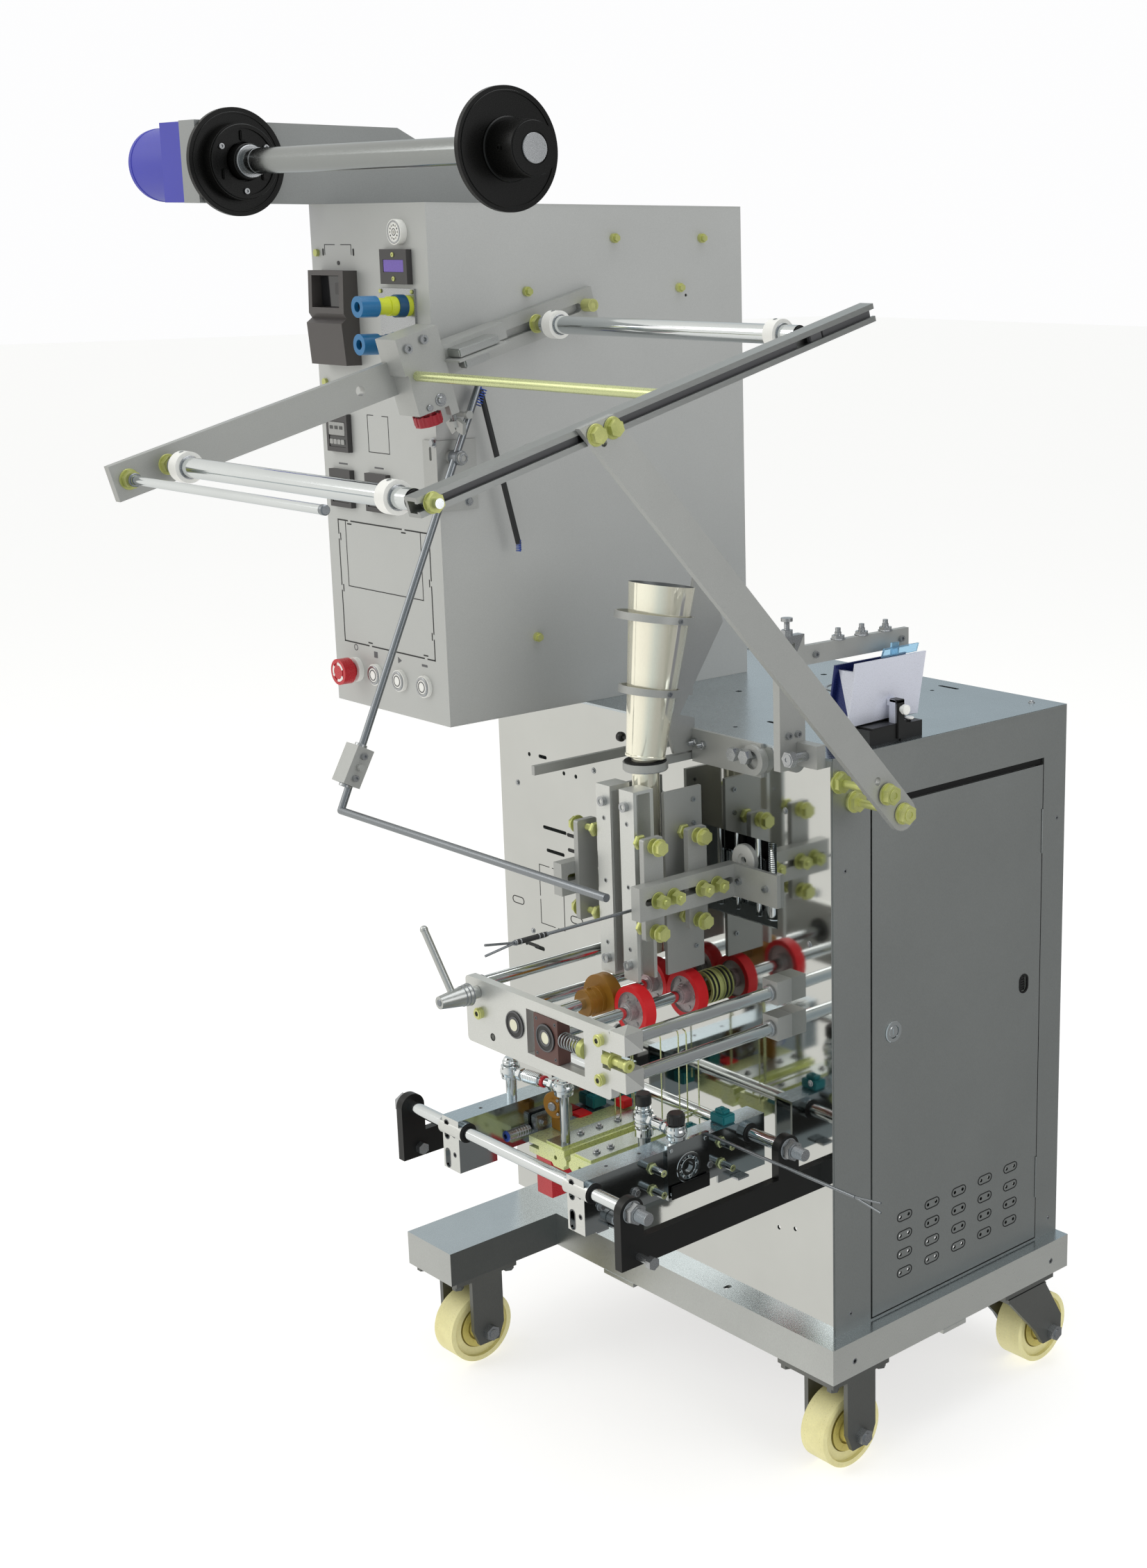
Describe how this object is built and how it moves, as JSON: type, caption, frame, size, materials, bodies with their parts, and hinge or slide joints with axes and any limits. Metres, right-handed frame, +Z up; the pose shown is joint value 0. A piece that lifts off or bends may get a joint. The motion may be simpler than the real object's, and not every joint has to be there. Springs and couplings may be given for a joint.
{
  "type": "vertical form fill sealer",
  "caption": "Wheeled vertical form-fill-seal machine: steel cabinet with sealing jaws and film drive on its front, side control box, film roll holder and tilted film frame.",
  "frame": {"origin": "floor level, under the middle of the machine's bounding box", "axes": "+Z up, -Y towards the front with the sealing mechanism, +X to the right seen from the front"},
  "size_m": [1.0507, 1.0922, 1.6815],
  "materials": {
    "stainless": "satin stainless sheet",
    "dark_steel": "satin",
    "box_paint": "fine textured light grey paint",
    "panel_plastic": "gloss",
    "button_green": "gloss",
    "red_plastic": "gloss",
    "cover_plastic": "semi gloss",
    "instrument": "matte",
    "connector_blue": "semi gloss",
    "arm_paint": "satin",
    "motor_blue": "satin",
    "aluminium": "fine brushed",
    "zinc_yellow": "yellow zinc plating",
    "steel": "bright turned",
    "chrome": "polished",
    "black_plastic": "matte",
    "black_iron": "black oxide",
    "polished_sheet": "polished sheet",
    "jaw_metal": "pale yellow-green plating",
    "drive_red": "rubber tyre",
    "block_brown": "matte",
    "wheel_cream": "cast nylon"
  },
  "bodies": {
    "machine": {"base_frame": "stainless", "caster_forks": "dark_steel", "cabinet": "stainless", "top_plate": "stainless", "control_box": "box_paint", "panel_fittings": "panel_plastic", "breaker_cover": "cover_plastic", "controllers": "instrument", "sensor_plugs": "connector_blue", "roll_arm": "arm_paint", "roll_motor": "motor_blue", "film_bar": "aluminium", "film_rail": "aluminium", "strut": "arm_paint", "yellow_bolts": "zinc_yellow", "steel_nuts": "steel", "roller_axles": "steel", "dancer_bracket": "stainless", "funnel": "polished_sheet", "funnel_mount": "arm_paint", "vseal_frame": "aluminium", "pull_frame": "aluminium", "pull_ties": "chrome", "jaw_arms": "black_iron", "jaw_shafts": "chrome", "coder": "arm_paint", "probe_upper": "steel", "sensor_block": "aluminium"},
    "door": {"door": "stainless"},
    "estop": {"estop_button": "red_plastic"},
    "stop_button": {"button_stop": "button_green"},
    "start_button": {"button_start": "button_green"},
    "jog_button": {"button_jog": "button_green"},
    "roll": {"roll_shaft": "black_iron", "roll_flange_left": "black_plastic"},
    "outer_flange": {"roll_flange_right": "black_plastic"},
    "front_roller": {"roller_front": "chrome"},
    "rear_roller": {"roller_rear": "chrome"},
    "dancer": {"dancer_arm": "steel"},
    "sensor_knob": {"sensor_knob": "red_plastic"},
    "seal_bar_left": {"vseal_bar_left": "aluminium"},
    "seal_bar_right": {"vseal_bar_right": "aluminium"},
    "drive": {"drive_shaft": "chrome", "drive_rolls": "drive_red"},
    "slider": {"bearing_block": "block_brown", "block_spring": "steel"},
    "idler": {"idle_shaft": "chrome", "idle_wheels": "drive_red"},
    "lever": {"cam_handle": "steel"},
    "left_jaw_unit": {"left_carriage": "aluminium", "left_jaw": "jaw_metal"},
    "right_jaw_unit": {"right_carriage": "aluminium", "right_jaw": "jaw_metal", "probe_lower": "steel"},
    "outrigger_wheel": {"wheel_outrigger": "wheel_cream"},
    "front_wheel": {"wheel_front": "wheel_cream"},
    "right_fork": {"swivel_right": "dark_steel"},
    "left_fork": {"swivel_left": "dark_steel"},
    "rear_right_wheel": {"wheel_rear_right": "wheel_cream"},
    "rear_left_wheel": {"wheel_rear_left": "wheel_cream"}
  },
  "joints": [
    {"name": "door_hinge", "type": "hinge", "parent": "machine", "child": "door", "pos_m": [0.336, 0.48012, 0.527], "axis": [0, 0, 1], "range_deg": [0, 110]},
    {"name": "estop_press", "type": "slide", "parent": "machine", "child": "estop", "axis": [0, 1, 0], "range_m": [0, 0.004]},
    {"name": "stop_press", "type": "slide", "parent": "machine", "child": "stop_button", "axis": [0, 1, 0], "range_m": [0, 0.003], "stiffness_N_per_m": 400},
    {"name": "start_press", "type": "slide", "parent": "machine", "child": "start_button", "axis": [0, 1, 0], "range_m": [0, 0.003], "stiffness_N_per_m": 400},
    {"name": "jog_press", "type": "slide", "parent": "machine", "child": "jog_button", "axis": [0, 1, 0], "range_m": [0, 0.003], "stiffness_N_per_m": 400},
    {"name": "roll_turn", "type": "hinge", "parent": "machine", "child": "roll", "pos_m": [-0.042, -0.24388, 1.6185], "axis": [1, 0, 0], "continuous": true},
    {"name": "flange_slide", "type": "slide", "parent": "roll", "child": "outer_flange", "axis": [1, 0, 0], "range_m": [-0.2, 0]},
    {"name": "front_roller_turn", "type": "hinge", "parent": "machine", "child": "front_roller", "pos_m": [0.128, -0.47719, 1.2903], "axis": [1, 0, 0], "continuous": true},
    {"name": "rear_roller_turn", "type": "hinge", "parent": "machine", "child": "rear_roller", "pos_m": [0.128, 0.02655, 1.42717], "axis": [1, 0, 0], "continuous": true},
    {"name": "dancer_swing", "type": "hinge", "parent": "machine", "child": "dancer", "pos_m": [-0.106, -0.10488, 1.272], "axis": [1, 0, 0], "range_deg": [-30, 0]},
    {"name": "knob_turn", "type": "hinge", "parent": "machine", "child": "sensor_knob", "pos_m": [-0.098, -0.15236, 1.33048], "axis": [0, -0.2622, 0.965], "continuous": true},
    {"name": "seal_bars_close", "type": "slide", "parent": "machine", "child": "seal_bar_left", "axis": [1, 0, 0], "range_m": [0, 0.007]},
    {"name": "seal_bar_right_close", "type": "slide", "parent": "machine", "child": "seal_bar_right", "axis": [1, 0, 0], "range_m": [-0.007, 0]},
    {"name": "drive_turn", "type": "hinge", "parent": "machine", "child": "drive", "pos_m": [0.056, -0.03088, 0.604], "axis": [0, 1, 0], "continuous": true},
    {"name": "block_slide", "type": "slide", "parent": "machine", "child": "slider", "axis": [1, 0, 0], "range_m": [0, 0.005], "stiffness_N_per_m": 3000},
    {"name": "idle_turn", "type": "hinge", "parent": "slider", "child": "idler", "pos_m": [0.1186, -0.03088, 0.604], "axis": [0, 1, 0], "continuous": true},
    {"name": "lever_turn", "type": "hinge", "parent": "machine", "child": "lever", "pos_m": [-0.02, -0.19088, 0.627], "axis": [0, 1, 0], "range_deg": [0, 90]},
    {"name": "jaws_open", "type": "slide", "parent": "machine", "child": "left_jaw_unit", "axis": [-1, 0, 0], "range_m": [0, 0.035]},
    {"name": "right_jaw_open", "type": "slide", "parent": "machine", "child": "right_jaw_unit", "axis": [1, 0, 0], "range_m": [0, 0.035]},
    {"name": "outrigger_wheel_turn", "type": "hinge", "parent": "machine", "child": "outrigger_wheel", "pos_m": [-0.2425, -0.05288, 0.05], "axis": [1, 0, 0], "continuous": true},
    {"name": "front_wheel_turn", "type": "hinge", "parent": "machine", "child": "front_wheel", "pos_m": [0.3185, 0.11912, 0.05], "axis": [1, 0, 0], "continuous": true},
    {"name": "right_fork_turn", "type": "hinge", "parent": "machine", "child": "right_fork", "pos_m": [0.3185, 0.44212, 0.128], "axis": [0, 0, 1], "continuous": true},
    {"name": "left_fork_turn", "type": "hinge", "parent": "machine", "child": "left_fork", "pos_m": [-0.2655, 0.44212, 0.128], "axis": [0, 0, 1], "continuous": true},
    {"name": "rear_right_wheel_turn", "type": "hinge", "parent": "right_fork", "child": "rear_right_wheel", "pos_m": [0.3185, 0.49612, 0.05], "axis": [1, 0, 0], "continuous": true},
    {"name": "rear_left_wheel_turn", "type": "hinge", "parent": "left_fork", "child": "rear_left_wheel", "pos_m": [-0.2655, 0.49612, 0.05], "axis": [1, 0, 0], "continuous": true}
  ],
  "couplings": [
    {"joint": "seal_bar_right_close", "follows": "seal_bars_close", "ratio": -1},
    {"joint": "right_jaw_open", "follows": "jaws_open", "ratio": 1},
    {"joint": "idle_turn", "follows": "drive_turn", "ratio": -1}
  ]
}
